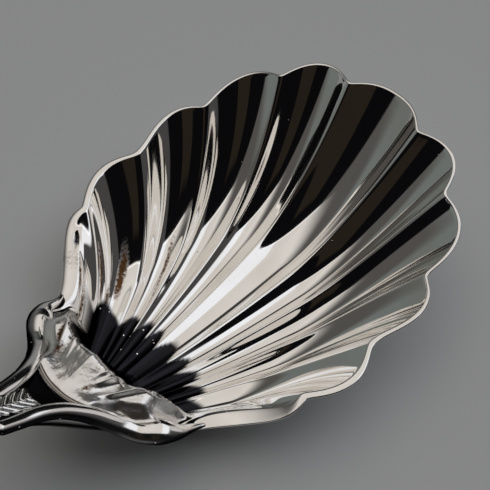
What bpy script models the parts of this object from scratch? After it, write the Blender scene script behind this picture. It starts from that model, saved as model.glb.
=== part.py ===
"""Sugar shell spoon: a fluted shell bowl soldered into the yoke of a struck stem.

Lengths are millimetres in the bowl's own frame: +X runs to the tip, Y is the width, and the rim lies
near z = 0. An empty carries the pieces, tilts them to the way the spoon lies on a table, and puts the
origin under the middle of the spoon.
"""
import math

import bmesh
import bpy
from mathutils import Vector

MM = 0.001
OBJECT_NAME = "shell_spoon"

# Rim: a blunt oval through the notches, whose angles count from the tip to each side
OVAL_CENTRE = -8.0
OVAL_HALF_LENGTH = 23.4
OVAL_HALF_WIDTH = 19.0
OVAL_POWER = 2.4
NOTCH_ANGLES = (13.0, 40.0, 69.5, 91.0, 113.0)
EAR_ANGLE = 136.0
TIP_RISE = 3.0
TIP_RISE_START = 1.0
TIP_RISE_POWER = 1.3

# Shoulder: the rim from the last notch in to the ear, led by two handle points
SHOULDER_OUT = Vector((-22.9, 17.8, 0.1))
SHOULDER_IN = Vector((-27.1, 9.9, -4.1))
EAR = Vector((-31.3, 10.7, 0.2))

# Heel: the edge of the bowl against the stem
HEEL_X = -35.6
HEEL_HEIGHT = 5.0
HEEL_END = Vector((-32.4, 9.8, 1.0))
HEEL_FAN = 0.12
HEEL_FAN_POWER = 10
HEEL_WALL = 7.0
HEEL_WALL_SHARE = 0.55

# Basin: depth below the rim and how the floor runs from heel to rim
BASIN_DEPTH = 8.8
SHOULDER_DEPTH = 2.0
DEPTH_END_ANGLE = 118.0
DEPTH_POWER = 6
DEEPEST_REACH = 0.58
WALL_POWER = 2.3
FLOOR_AT_HEEL = -3.0
FLARE_POWER = 5
RAY_STRAIGHT_TIP = 0.95
RAY_STRAIGHT_SIDE = 0.75

# Flutes: hollows between crests, deepest at the rim
FLUTE_DEPTH_TIP = 2.2
FLUTE_DEPTH_SIDE = 1.0
FLUTE_START = 0.1
FLUTE_FULL = 0.3
CREST_ROUNDING = 0.12
SCALLOP_TIP = 1.1
SCALLOP_SIDE = 1.0
SCALLOP_POWER = 8

# Sheet: thick at the heel, thin at the tip
SHEET_HEEL = 1.0
SHEET_TIP_SHARE = 0.55

# Stem: its top line from the yoke over the arch to the terminal, as distance behind the yoke and height
YOKE_X = -37.2
STEM_RISE = ((0.0, 6.5), (6.0, 11.6), (12.0, 16.6), (20.0, 17.0))
STEM_FALL = ((20.0, 17.0), (42.0, 17.0), (72.0, 2.4), (95.0, 5.2))
STEM_HALF_WIDTH = 1.9
STEM_THICKNESS = 2.9
STEM_SIDE = 1.4
STEM_BACK_POWER = 1.2
STEM_THINS_FROM = 15.0
STEM_THINS_TO = 60.0
YOKE_FLARE = 8.0
YOKE_FLARE_LENGTH = 1.6
YOKE_SWEEP = 3.3
YOKE_DROOP = 4.5
YOKE_DEEPER = 1.2
TERMINAL_HALF_WIDTH = 9.0
TERMINAL_THICKNESS = 1.9
TERMINAL_SIDE = 1.1
TERMINAL_START = 35.0
TERMINAL_WIDEST = 84.0
TERMINAL_END_HALF_WIDTH = 1.5

# Tongue: the tip of the stem that runs on under the heel of the bowl
TONGUE_HALF_WIDTH = 1.9
TONGUE_TIP_HALF_WIDTH = 0.7
TONGUE_THICKNESS = 1.1
TONGUE_TIP_SHARE = 0.4
TONGUE_SIDE_SHARE = 0.5
TONGUE_ROOT_DEPTH = 3.2
TONGUE_ROWS = 6

# Seam: the solder bead between the yoke and the heel
SEAM_RADIUS = 0.35
SEAM_PLACE = 0.45
SEAM_REACH = 0.8
SEAM_RAISE = 0.55
SEAM_DROP = 4.2
SEAM_WELD = 0.01

CLEARANCE = 0.5
REST_TILT = math.radians(7.0)

# Mesh fineness
LOBE_COLUMNS = 6
BOWL_ROWS = 24
ROW_CROWDING = 1.25
STATION_CROWDING = 1.5
RISE_STATIONS = 16
FALL_STATIONS = 30
SECTION_POINTS = 9
SEAM_POINTS = 21
SEAM_SIDES = 2
ANGLE_STEP = 0.5
REACH_STEP = 0.01
SHARP_EDGE = math.radians(35.0)

SILVER = (0.80, 0.79, 0.77, 1.0)
SILVER_ROUGHNESS = 0.12
SOLDER = (0.55, 0.53, 0.50, 1.0)
SOLDER_ROUGHNESS = 0.35


def clear_scene():
    """Remove every object that the file starts with."""
    for old in list(bpy.data.objects):
        bpy.data.objects.remove(old, do_unlink=True)


def mix(start, end, share):
    """Return the value that lies the given share of the way from start to end."""
    return start + (end - start) * share


def ease(low, high, value):
    """Return a smooth step from 0 at low to 1 at high."""
    share = min(1.0, max(0.0, (value - low) / (high - low)))
    return share * share * (3.0 - 2.0 * share)


def bezier(points, share):
    """Return the point of a cubic curve through four handle points."""
    rest = 1.0 - share
    weights = (rest ** 3, 3.0 * rest ** 2 * share, 3.0 * rest * share ** 2, share ** 3)
    return sum((Vector(point) * weight for point, weight in zip(points, weights)), Vector(points[0]) * 0.0)


def oval_point(angle):
    """Return the point of the rim oval at an angle from the tip, in degrees."""
    turn = math.radians(angle)
    run, side = math.cos(turn), math.sin(turn)
    x = OVAL_CENTRE + math.copysign(abs(run) ** (2.0 / OVAL_POWER), run) * OVAL_HALF_LENGTH
    y = abs(side) ** (2.0 / OVAL_POWER) * OVAL_HALF_WIDTH
    climb = max(0.0, x - TIP_RISE_START) / (OVAL_CENTRE + OVAL_HALF_LENGTH - TIP_RISE_START)
    return Vector((x, y, TIP_RISE * climb ** TIP_RISE_POWER))


def rim_point(angle):
    """Return the rim before fluting, on the side of positive Y."""
    last_notch = NOTCH_ANGLES[-1]
    if angle <= last_notch:
        return oval_point(angle)
    share = (angle - last_notch) / (EAR_ANGLE - last_notch)
    return bezier((oval_point(last_notch), SHOULDER_OUT, SHOULDER_IN, EAR), share)


def heel_line(width_share):
    """Return the bowl's heel edge at a share of the way from the middle to the ear."""
    x = mix(HEEL_X, HEEL_END.x, width_share ** 2)
    z = mix(HEEL_HEIGHT, HEEL_END.z, width_share ** 2)
    return Vector((x, HEEL_END.y * width_share, z))


def heel_point(angle):
    """Return the point of the heel edge where the ray of this angle starts."""
    share = angle / EAR_ANGLE
    return heel_line(HEEL_FAN * share + (1.0 - HEEL_FAN) * share ** HEEL_FAN_POWER)


def basin_point(angle, reach):
    """Return the smooth basin, without flutes, at a reach from heel (0) to rim (1)."""
    size = abs(angle)
    rim, heel = rim_point(size), heel_point(size)
    towards_side = math.sin(math.radians(min(size, 90.0)))
    straight = mix(RAY_STRAIGHT_TIP, RAY_STRAIGHT_SIDE, towards_side)
    spread = straight * reach + (1.0 - straight) * reach ** FLARE_POWER
    depth = max(0.0, 1.0 - (size / DEPTH_END_ANGLE) ** DEPTH_POWER)
    at_ear = ease(NOTCH_ANGLES[-1], EAR_ANGLE, size)
    floor = mix(mix(-SHOULDER_DEPTH, -BASIN_DEPTH, depth), rim.z, at_ear)
    heel_floor = mix(FLOOR_AT_HEEL, heel.z, at_ear)
    if reach >= DEEPEST_REACH:
        z = mix(floor, rim.z, ((reach - DEEPEST_REACH) / (1.0 - DEEPEST_REACH)) ** WALL_POWER)
    else:
        z = mix(floor, heel_floor, (1.0 - reach / DEEPEST_REACH) ** 2)
    length = (rim - heel).xy.length
    wall = min(HEEL_WALL, HEEL_WALL_SHARE * length)
    z += (heel.z - heel_floor) * (1.0 - ease(0.0, wall, reach * length))
    side = math.copysign(1.0, angle)
    return Vector((mix(heel.x, rim.x, reach), side * mix(heel.y, rim.y, spread), z))


def basin_frame(angle, reach):
    """Return the basin's inward normal and its direction towards the rim."""
    low, high = max(-EAR_ANGLE, angle - ANGLE_STEP), min(EAR_ANGLE, angle + ANGLE_STEP)
    near, far = max(0.0, reach - REACH_STEP), min(1.0, reach + REACH_STEP)
    across = basin_point(high, reach) - basin_point(low, reach)
    along = basin_point(angle, far) - basin_point(angle, near)
    normal = along.cross(across).normalized()
    return normal, along.normalized()


def flute_share(angle):
    """Return how far a flute has sunk between its crests: 0 on a crest, 1 in mid flute."""
    size = abs(angle)
    edges = (-NOTCH_ANGLES[0],) + NOTCH_ANGLES + (EAR_ANGLE,)
    last = len(edges) - 2
    lobe = max(index for index in range(last + 1) if edges[index] <= size)
    middle = 0.5 * (edges[lobe] + edges[lobe + 1])
    half = edges[lobe + 1] - middle
    to_crest = 1.0 - abs(size - middle) / half
    rounded = math.hypot(to_crest, CREST_ROUNDING) - CREST_ROUNDING
    full = math.hypot(1.0, CREST_ROUNDING) - CREST_ROUNDING
    share = rounded / full
    return share * (2.0 - share)


def bowl_point(angle, reach):
    """Return the inner face of the fluted bowl."""
    normal, along = basin_frame(angle, reach)
    towards_ear = abs(angle) / EAR_ANGLE
    depth = mix(FLUTE_DEPTH_TIP, FLUTE_DEPTH_SIDE, towards_ear) * reach ** 2
    depth *= ease(FLUTE_START, FLUTE_FULL, reach)
    scallop = mix(SCALLOP_TIP, SCALLOP_SIDE, towards_ear) * reach ** SCALLOP_POWER
    fade = 1.0 - ease(NOTCH_ANGLES[-1], EAR_ANGLE, abs(angle))
    sunk = flute_share(angle) * fade ** 2
    return basin_point(angle, reach) - normal * depth * sunk + along * scallop * sunk


def column_angle(column):
    """Return the ray angle of a mesh column, with a column on every notch."""
    notches = list(NOTCH_ANGLES) + [EAR_ANGLE]
    edges = [-angle for angle in reversed(notches)] + notches
    lobe = min(column // LOBE_COLUMNS, len(edges) - 2)
    return mix(edges[lobe], edges[lobe + 1], column / LOBE_COLUMNS - lobe)


def row_reach(row):
    """Return the reach of a mesh row, with rows closer together at the heel."""
    return (row / BOWL_ROWS) ** ROW_CROWDING


def finish(name, mesh_data, colour, roughness):
    """Make a named object from a mesh, with its own metal and smooth shading."""
    metal = bpy.data.materials.new(name + "_metal")
    metal.use_nodes = True
    surface = metal.node_tree.nodes["Principled BSDF"]
    surface.inputs["Base Color"].default_value = colour
    surface.inputs["Metallic"].default_value = 1.0
    surface.inputs["Roughness"].default_value = roughness
    mesh_data.materials.append(metal)
    mesh_data.shade_smooth()
    mesh_data.set_sharp_from_angle(angle=SHARP_EDGE)
    return bpy.data.objects.new(name, mesh_data)


def make_bowl():
    """Make the bowl: a fluted sheet thickened outwards, thinner towards the tip."""
    columns = LOBE_COLUMNS * (2 * len(NOTCH_ANGLES) + 1)
    sheet = bmesh.new()
    bmesh.ops.create_grid(sheet, x_segments=columns, y_segments=BOWL_ROWS, size=1.0)
    reaches = []
    for vertex in sheet.verts:
        angle = column_angle(round((vertex.co.x + 1.0) * 0.5 * columns))
        reach = row_reach(round((vertex.co.y + 1.0) * 0.5 * BOWL_ROWS))
        vertex.co = bowl_point(angle, reach) * MM
        reaches.append(reach)
    bmesh.ops.reverse_faces(sheet, faces=sheet.faces)
    mesh_data = bpy.data.meshes.new("shell_bowl")
    sheet.to_mesh(mesh_data)
    sheet.free()
    bowl = finish("shell_bowl", mesh_data, SILVER, SILVER_ROUGHNESS)
    thick = bowl.vertex_groups.new(name="thick")
    for index, reach in enumerate(reaches):
        thick.add([index], 1.0 - reach, "REPLACE")
    solidify = bowl.modifiers.new("sheet", "SOLIDIFY")
    solidify.thickness = SHEET_HEEL * MM
    solidify.offset = -1.0
    solidify.vertex_group = thick.name
    solidify.thickness_vertex_group = SHEET_TIP_SHARE
    return bowl


def stem_stations():
    """Return the stem's top line as (distance behind the yoke, height) pairs."""
    rise = [bezier(STEM_RISE, (step / RISE_STATIONS) ** STATION_CROWDING) for step in range(RISE_STATIONS)]
    fall = [bezier(STEM_FALL, step / FALL_STATIONS) for step in range(FALL_STATIONS)]
    end_steps = [bezier(STEM_FALL, 1.0 - 0.5 / FALL_STATIONS), bezier(STEM_FALL, 1.0)]
    return rise + fall + end_steps


def section(centre, up, half_width, thickness, side, sweep, droop):
    """Return one ring of the stem: a flat top, upright sides and a rounded back."""
    shares = [mix(-1.0, 1.0, step / (SECTION_POINTS - 1)) for step in range(SECTION_POINTS)]
    top = [(share, 0.0) for share in shares]
    back = []
    for share in reversed(shares):
        bulge = (1.0 - share ** 2) ** STEM_BACK_POWER
        back.append((share, mix(side, thickness, bulge)))
    ring = []
    for share, depth in top + back:
        shift = Vector((sweep * share ** 2, half_width * share, -droop * share ** 2))
        ring.append(centre + shift - up * depth)
    return ring


def stem_half_width(distance, length):
    """Return half the stem's width at a distance behind the yoke."""
    flare = YOKE_FLARE * math.exp(-distance / YOKE_FLARE_LENGTH)
    widening = ease(TERMINAL_START, TERMINAL_WIDEST, distance)
    plain = mix(STEM_HALF_WIDTH, TERMINAL_HALF_WIDTH, widening)
    if distance > TERMINAL_WIDEST:
        share = (distance - TERMINAL_WIDEST) / (length - TERMINAL_WIDEST)
        plain = mix(TERMINAL_END_HALF_WIDTH, TERMINAL_HALF_WIDTH, math.sqrt(max(0.0, 1.0 - share ** 2)))
    return plain + flare


def stem_rings():
    """Return the stem's rings from the terminal forward to the front of the yoke."""
    stations = stem_stations()
    length = stations[-1].x
    rings = []
    for index, station in enumerate(stations):
        before, after = stations[max(0, index - 1)], stations[min(len(stations) - 1, index + 1)]
        run = (after - before).normalized()
        distance = station.x
        flare = math.exp(-distance / YOKE_FLARE_LENGTH)
        up = mix(Vector((run.y, 0.0, run.x)), Vector((0.0, 0.0, 1.0)), flare).normalized()
        thinning = ease(STEM_THINS_FROM, STEM_THINS_TO, distance)
        thickness = mix(STEM_THICKNESS, TERMINAL_THICKNESS, thinning) + YOKE_DEEPER * flare
        side = mix(STEM_SIDE, TERMINAL_SIDE, thinning)
        centre = Vector((YOKE_X - distance, 0.0, station.y))
        half_width = stem_half_width(distance, length)
        rings.append(section(centre, up, half_width, thickness, side, YOKE_SWEEP * flare, YOKE_DROOP * flare))
    rings.reverse()
    return rings


def tongue_rings():
    """Return the rings that carry the stem on under the heel of the bowl."""
    up = Vector((0.0, 0.0, 1.0))
    root = Vector((YOKE_X, 0.0, STEM_RISE[0][1] - TONGUE_ROOT_DEPTH))
    side = TONGUE_SIDE_SHARE * TONGUE_THICKNESS
    rings = [section(root, up, TONGUE_HALF_WIDTH, TONGUE_THICKNESS, side, 0.0, 0.0)]
    for row in range(1, TONGUE_ROWS + 1):
        reach = row_reach(row)
        normal, _ = basin_frame(0.0, reach)
        taper = row / TONGUE_ROWS
        half_width = mix(TONGUE_HALF_WIDTH, TONGUE_TIP_HALF_WIDTH, taper)
        thickness = TONGUE_THICKNESS * mix(1.0, TONGUE_TIP_SHARE, taper)
        centre = basin_point(0.0, reach) - normal * (SHEET_HEEL + CLEARANCE)
        rings.append(section(centre, normal, half_width, thickness, TONGUE_SIDE_SHARE * thickness, 0.0, 0.0))
    return rings


def make_stem(table_up, table_height):
    """Make the stem as one loft, with the back of its terminal ground flat to the table."""
    loft = bmesh.new()
    rings = [[loft.verts.new(point * MM) for point in ring] for ring in stem_rings() + tongue_rings()]
    for here, there in zip(rings, rings[1:]):
        for index in range(len(here)):
            after = (index + 1) % len(here)
            loft.faces.new((here[index], here[after], there[after], there[index]))
    loft.faces.new(rings[0])
    loft.faces.new(rings[-1])
    bmesh.ops.recalc_face_normals(loft, faces=loft.faces)
    cut = bmesh.ops.bisect_plane(
        loft, geom=loft.verts[:] + loft.edges[:] + loft.faces[:],
        plane_co=table_up * table_height, plane_no=table_up, clear_inner=True)
    flat_edges = [item for item in cut["geom_cut"] if isinstance(item, bmesh.types.BMEdge)]
    bmesh.ops.contextual_create(loft, geom=flat_edges)
    bmesh.ops.recalc_face_normals(loft, faces=loft.faces)
    mesh_data = bpy.data.meshes.new("stem")
    loft.to_mesh(mesh_data)
    loft.free()
    return finish("stem", mesh_data, SILVER, SILVER_ROUGHNESS)


def make_seam():
    """Make the solder bead that lies in the joint between the yoke and the heel."""
    path = bpy.data.curves.new("solder_path", "CURVE")
    path.dimensions = "3D"
    path.bevel_depth = SEAM_RADIUS * MM
    path.bevel_resolution = SEAM_SIDES
    path.use_fill_caps = True
    line = path.splines.new("POLY")
    line.points.add(SEAM_POINTS - 1)
    for index, point in enumerate(line.points):
        share = mix(-SEAM_REACH, SEAM_REACH, index / (SEAM_POINTS - 1))
        x = mix(YOKE_X, HEEL_X, SEAM_PLACE) + YOKE_SWEEP * share ** 2
        z = HEEL_HEIGHT + SEAM_RAISE - SEAM_DROP * share ** 2
        point.co = Vector((x, HEEL_END.y * share, z, 1.0 / MM)) * MM
    guide = bpy.data.objects.new("solder_path", path)
    bpy.context.scene.collection.objects.link(guide)
    evaluated = guide.evaluated_get(bpy.context.evaluated_depsgraph_get())
    mesh_data = bpy.data.meshes.new_from_object(evaluated)
    bpy.data.objects.remove(guide, do_unlink=True)
    bead = bmesh.new()
    bead.from_mesh(mesh_data)
    bmesh.ops.remove_doubles(bead, verts=bead.verts, dist=SEAM_WELD * MM)
    bead.to_mesh(mesh_data)
    bead.free()
    return finish("solder_seam", mesh_data, SOLDER, SOLDER_ROUGHNESS)


def world_points(piece):
    """Return the evaluated vertices of a piece in world space."""
    evaluated = piece.evaluated_get(bpy.context.evaluated_depsgraph_get())
    mesh_data = evaluated.to_mesh()
    points = [evaluated.matrix_world @ vertex.co for vertex in mesh_data.vertices]
    evaluated.to_mesh_clear()
    return points


def main():
    """Build the pieces, tilt them to rest and set the origin under the middle."""
    clear_scene()
    parts = bpy.data.collections.new(OBJECT_NAME)
    bpy.context.scene.collection.children.link(parts)
    table_up = Vector((math.sin(REST_TILT), 0.0, math.cos(REST_TILT)))
    bowl = make_bowl()
    parts.objects.link(bowl)
    table_height = min(table_up.dot(point) for point in world_points(bowl))
    pieces = [bowl, make_stem(table_up, table_height), make_seam()]
    for piece in pieces[1:]:
        parts.objects.link(piece)
    carrier = bpy.data.objects.new("rest_pose", None)
    parts.objects.link(carrier)
    carrier.rotation_euler = (0.0, -REST_TILT, 0.0)
    for piece in pieces:
        piece.parent = carrier
    bpy.context.view_layer.update()
    points = [point for piece in pieces for point in world_points(piece)]
    run = [point.x for point in points]
    carrier.location = (-0.5 * (min(run) + max(run)), 0.0, -table_height)
    bpy.context.view_layer.update()


main()
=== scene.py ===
"""Looks of a silver sugar shell spoon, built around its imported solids.

The bowl, stem and solder bead are rebuilt here as smooth fine meshes. They keep the outline of the solids,
and their flutes, heel and yoke are shaped further. Lengths are millimetres in the bowl's own frame: +X runs
to the tip, Y is the width, and the rim lies near z = 0. RestPose carries that frame to the way the spoon lies
on the table, in metres.
"""
import logging
import math
from dataclasses import dataclass, field
from enum import Enum
from typing import Any

import bmesh
import bpy
import numpy as np
from mathutils import Matrix, Vector


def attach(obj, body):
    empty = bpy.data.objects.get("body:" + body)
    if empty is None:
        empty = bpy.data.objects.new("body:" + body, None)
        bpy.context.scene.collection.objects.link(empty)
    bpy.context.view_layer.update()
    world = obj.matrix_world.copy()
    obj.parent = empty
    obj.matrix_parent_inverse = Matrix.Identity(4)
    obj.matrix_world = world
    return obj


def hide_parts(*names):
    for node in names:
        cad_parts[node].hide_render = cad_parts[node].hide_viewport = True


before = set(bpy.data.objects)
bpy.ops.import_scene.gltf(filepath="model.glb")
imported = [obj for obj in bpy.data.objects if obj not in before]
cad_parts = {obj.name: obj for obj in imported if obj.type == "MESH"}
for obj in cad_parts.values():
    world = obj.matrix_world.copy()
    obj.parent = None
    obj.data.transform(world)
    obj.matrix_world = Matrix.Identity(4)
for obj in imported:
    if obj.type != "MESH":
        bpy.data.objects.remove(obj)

LOG = logging.getLogger("shell_spoon")
PHOTO_SIDE = 490
SENSOR_WIDTH = 36.0
# One millimetre in metres.
MM = 0.001
# Points closer than this, in metres, are welded.
WELD = 1e-8
# A tube's end stops this close to a full dome, so that its last ring isn't a single point.
CAP_LIMIT = 0.999
UP = np.array((0.0, 0.0, 1.0))
# A Mix node's colour sockets go by number, because their names stand for its other kinds too.
MIX_FIRST = 6
MIX_SECOND = 7
MIX_RESULT = 2

Array = np.ndarray


class Part(Enum):
    """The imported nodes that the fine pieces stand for."""

    BOWL = "shell_bowl"
    STEM = "stem"
    SEAM = "solder_seam"


class Slot(Enum):
    """The record's material slots."""

    BOWL = "bowl_silver"
    STEM = "stem_silver"
    SOLDER = "silver_solder"


class Mark(Enum):
    """Values kept on a mesh's points for its finish to read: brown tarnish, black oxide together with painted
    shade and painted dark reflection, and the worn heel.
    """

    TARNISH = "tarnish"
    OXIDE_AND_SHADE = "oxide_and_shade"
    HEEL = "heel"


def mix(start: Any, end: Any, share: Any) -> Any:
    """Return the value that lies the given share of the way from start to end."""
    return start + (end - start) * share


def ease(low: Any, high: Any, value: Any) -> Any:
    """Return a smooth step from 0 at low to 1 at high."""
    share = np.clip((value - low) / (high - low), 0.0, 1.0)
    return share * share * (3.0 - 2.0 * share)


def bezier(points: tuple, share: Array) -> Array:
    """Return points of a cubic curve.

    Args:
        points: The curve's four handle points.
        share: How far along the curve each wanted point lies, from 0 to 1.

    Returns:
        One row for each share.
    """
    rest = 1.0 - share
    weights = np.stack((rest ** 3, 3.0 * rest ** 2 * share, 3.0 * rest * share ** 2, share ** 3), axis=-1)
    return weights @ np.array(points, dtype=float)


def unit(vectors: Array) -> Array:
    """Return the vectors at length one."""
    return vectors / np.linalg.norm(vectors, axis=-1, keepdims=True)


def linear(hex_colour: str) -> tuple[float, float, float, float]:
    """Turn an sRGB hex colour into linear light.

    Args:
        hex_colour: Six hex digits.

    Returns:
        Red, green and blue in linear light, and a full alpha.
    """
    channels = []
    for start in (0, 2, 4):
        value = int(hex_colour[start:start + 2], 16) / 255.0
        channels.append(value / 12.92 if value <= 0.04045 else ((value + 0.055) / 1.055) ** 2.4)
    return (*channels, 1.0)


def per_mm(size: float) -> float:
    """Return the texture scale, in Object coordinates, whose features are about this many millimetres."""
    return 1.0 / (size * MM)


def add_node(tree: bpy.types.NodeTree, kind: str, settings: dict | None = None,
             inputs: dict | None = None) -> bpy.types.Node:
    """Add a shader node with its settings and its inputs.

    Args:
        tree: The node tree that takes the node.
        kind: The node's type, without its ShaderNode prefix.
        settings: Properties of the node.
        inputs: Values or output sockets, by input name or number.

    Returns:
        The new node.
    """
    node = tree.nodes.new("ShaderNode" + kind)
    for name, value in (settings or {}).items():
        setattr(node, name, value)
    for name, value in (inputs or {}).items():
        if isinstance(value, bpy.types.NodeSocket):
            tree.links.new(value, node.inputs[name])
        else:
            node.inputs[name].default_value = value
    return node


def start_material(name: str) -> tuple[bpy.types.Material, bpy.types.NodeTree, bpy.types.NodeSocket]:
    """Start a node material.

    Args:
        name: The material's name.

    Returns:
        The material, its node tree, and the socket of the Object coordinates in it.
    """
    material = bpy.data.materials.new(name)
    material.use_nodes = True
    tree = material.node_tree
    tree.nodes.clear()
    return material, tree, add_node(tree, "TexCoord").outputs["Object"]


@dataclass(frozen=True)
class RestPose:
    """How the bowl's own frame lies on the table: tip up by a tilt, then moved over the row's origin."""

    tilt: float = math.radians(7.0)
    shift: float = 57.0157
    lift: float = 11.5361

    def place(self, points: Array) -> Array:
        """Carry points from the bowl's frame in millimetres to the row frame in metres.

        Args:
            points: Any array whose last axis is x, y, z.

        Returns:
            The points in the row frame.
        """
        x, y, z = points[..., 0], points[..., 1], points[..., 2]
        run = x * math.cos(self.tilt) - z * math.sin(self.tilt) + self.shift
        rise = x * math.sin(self.tilt) + z * math.cos(self.tilt) + self.lift
        return np.stack((run, y, rise), axis=-1) * MM


REST = RestPose()


@dataclass(frozen=True)
class HeelHump:
    """How heel and yoke fall away sideways: level in the middle, then steep, then level to the ears."""

    inner: float = 0.42
    outer: float = 0.68

    def fall(self, share: Array) -> Array:
        """Return the share of the fall at a share of the way from the middle to the ear."""
        return ease(self.inner, self.outer, np.abs(share))


HUMP = HeelHump()


def skin_rings(rings: Array, marks: dict[Mark, Array], name: str) -> bpy.types.Mesh:
    """Skin rings of points into one closed tube, welded along its seam and filled at both ends.

    Args:
        rings: Points by ring and by place round the ring, in the row frame.
        marks: Values for the finish, by ring and by place.
        name: The mesh's name.

    Returns:
        A smooth mesh whose faces point outwards.
    """
    stations, around = rings.shape[:2]
    skin = bmesh.new()
    layers = {mark: skin.verts.layers.float.new(mark.value) for mark in marks}
    bmesh.ops.create_grid(skin, x_segments=stations - 1, y_segments=around, size=1.0)
    for vertex in skin.verts:
        station = round((vertex.co.x + 1.0) * 0.5 * (stations - 1))
        place = round((vertex.co.y + 1.0) * 0.5 * around) % around
        vertex.co = rings[station, place]
        for mark, values in marks.items():
            vertex[layers[mark]] = values[station, place]
    bmesh.ops.remove_doubles(skin, verts=skin.verts, dist=WELD)
    bmesh.ops.holes_fill(skin, edges=skin.edges, sides=0)
    bmesh.ops.recalc_face_normals(skin, faces=skin.faces)
    mesh = bpy.data.meshes.new(name)
    skin.to_mesh(mesh)
    skin.free()
    mesh.shade_smooth()
    return mesh


def plain_marks(rings: Array) -> dict[Mark, Array]:
    """Return marks of zero, for a piece without tarnish, oxide or wear."""
    return {mark: np.zeros(rings.shape[:2]) for mark in Mark}


def show(mesh: bpy.types.Mesh, material: bpy.types.Material) -> bpy.types.Object:
    """Put a finished mesh into the scene.

    Args:
        mesh: The mesh, placed in the row frame.
        material: Its finish.

    Returns:
        The piece, at the origin.
    """
    mesh.materials.append(material)
    piece = bpy.data.objects.new(mesh.name, mesh)
    bpy.context.scene.collection.objects.link(piece)
    return piece


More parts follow.
